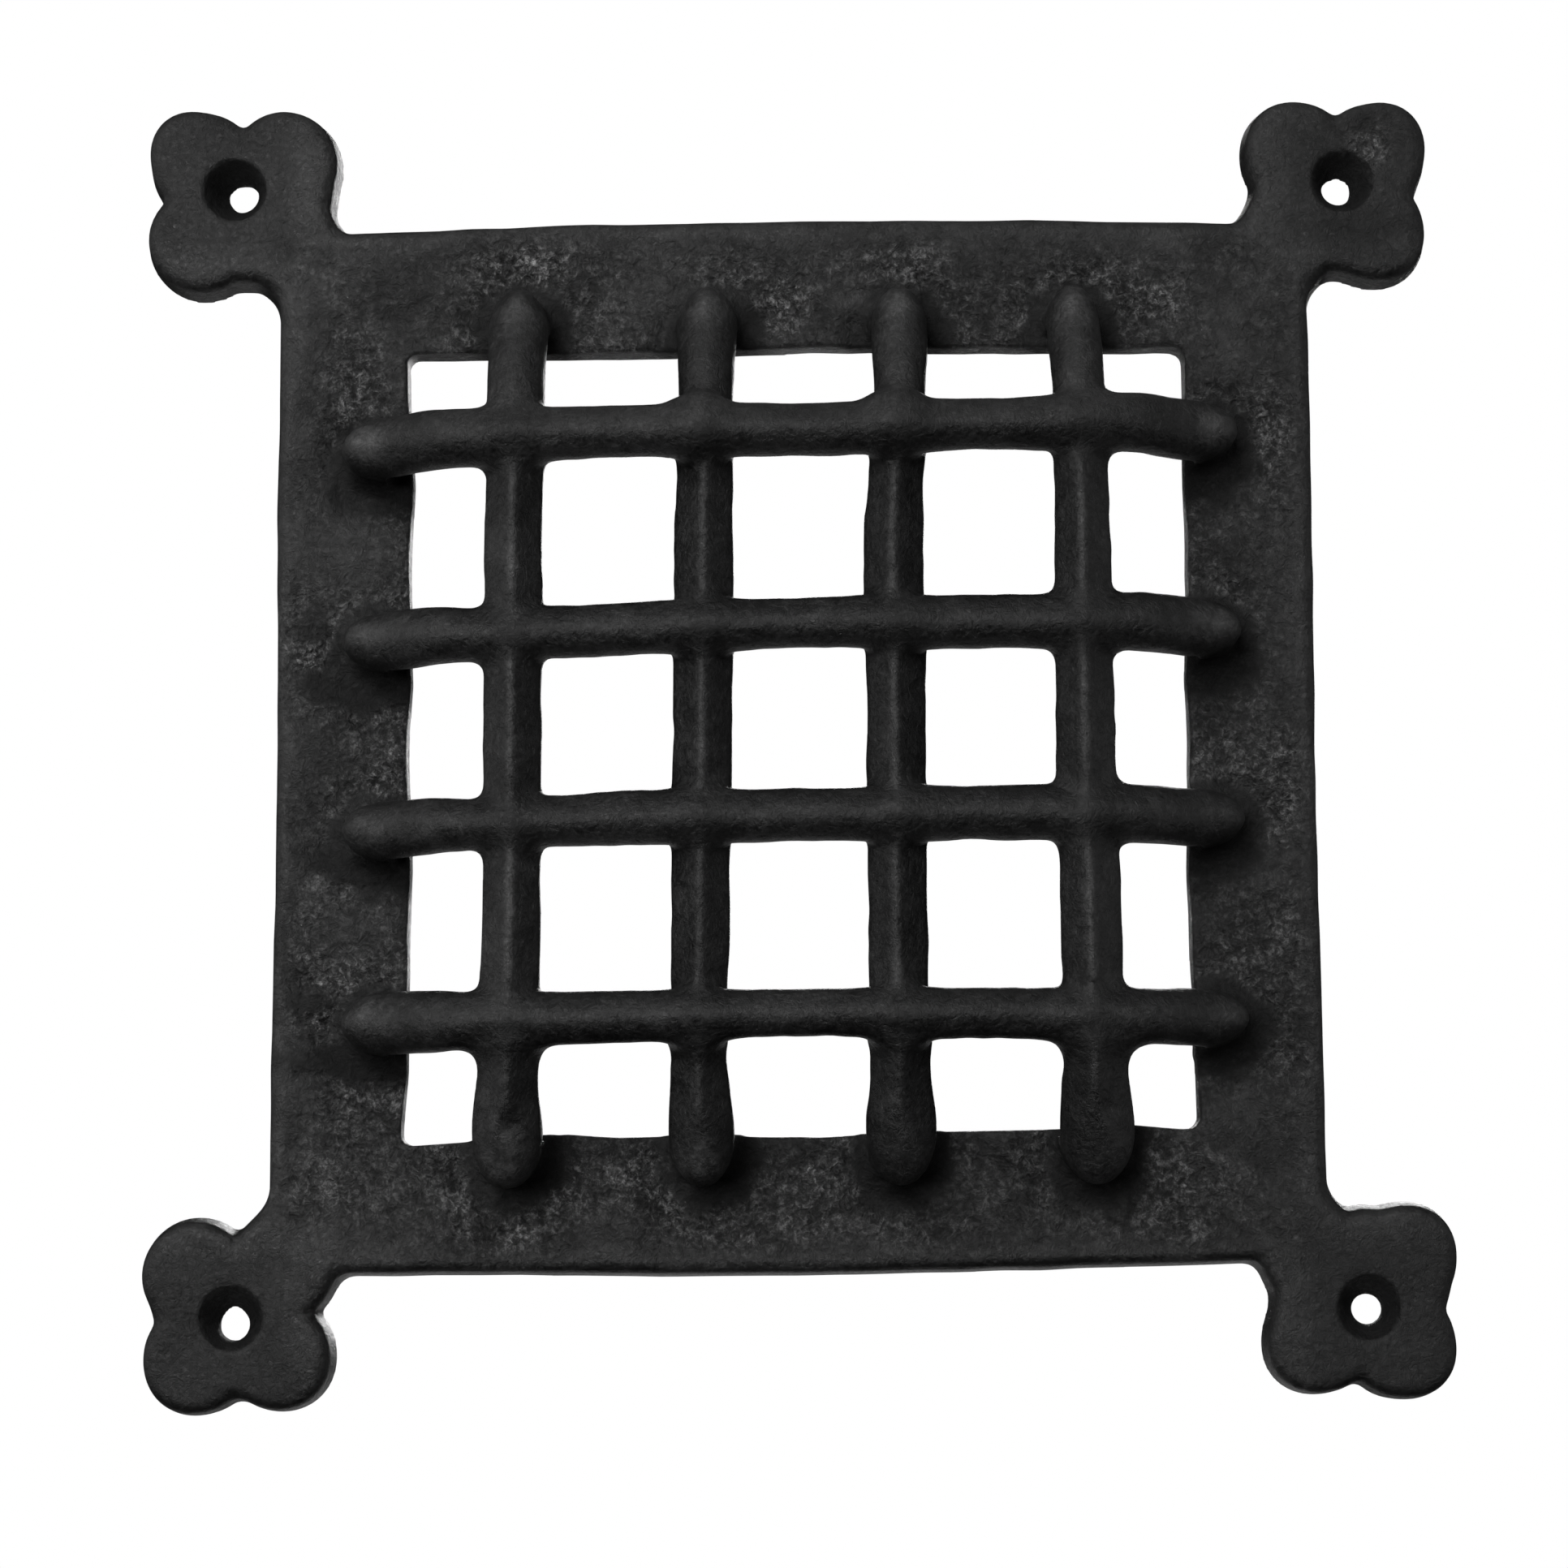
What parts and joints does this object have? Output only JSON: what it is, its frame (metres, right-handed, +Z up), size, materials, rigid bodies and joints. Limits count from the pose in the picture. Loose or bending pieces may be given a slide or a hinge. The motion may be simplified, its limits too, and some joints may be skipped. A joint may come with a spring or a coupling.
{
  "type": "speakeasy door grille",
  "caption": "Square cast-iron door grille with bowed crossing bars over an open window and a lobed, screw-fixed ear at each corner.",
  "frame": {"origin": "middle of the square frame, on the flat back that meets the door", "axes": "X to the right and Z up as the grille hangs on a door; the front faces -Y and the back is at y = 0"},
  "size_m": [0.2276, 0.0335, 0.2298],
  "materials": {
    "iron": "satin black paint"
  },
  "bodies": {
    "root": {"grille": "iron"}
  },
  "joints": []
}
